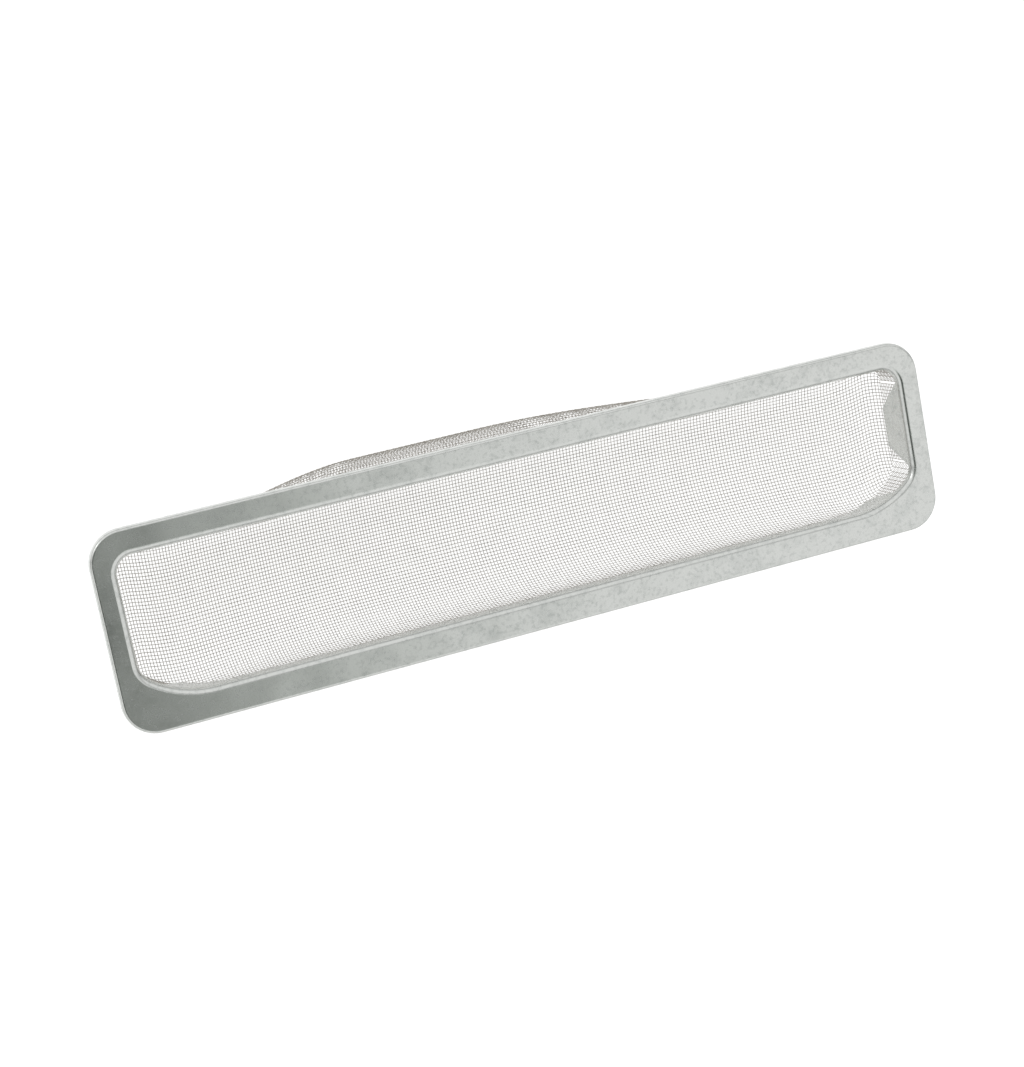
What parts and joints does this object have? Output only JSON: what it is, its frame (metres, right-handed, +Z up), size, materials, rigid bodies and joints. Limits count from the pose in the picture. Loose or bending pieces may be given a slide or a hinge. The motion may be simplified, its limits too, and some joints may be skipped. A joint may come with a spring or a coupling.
{
  "type": "dryer lint filter",
  "caption": "Long dryer lint filter: pressed steel frame with rounded corners around a deep basket of woven wire mesh that lets air through and holds lint.",
  "frame": {"origin": "middle of the bounding box, on the plane that the basket's floor rests on", "axes": "+X along the frame's length, +Y towards the side with the tight window corners, +Z up out of the open side"},
  "size_m": [0.39, 0.089, 0.0413],
  "materials": {
    "front_frame": "hot-dip galvanised pressed sheet, dull grey with soft spangle",
    "back_frame": "galvanised pressed sheet, plain",
    "mesh_screen": "plain-woven steel wire cloth, pale warm grey"
  },
  "bodies": {
    "root": {"front_frame": "front_frame", "back_frame": "back_frame", "mesh_screen": "mesh_screen"}
  },
  "joints": []
}
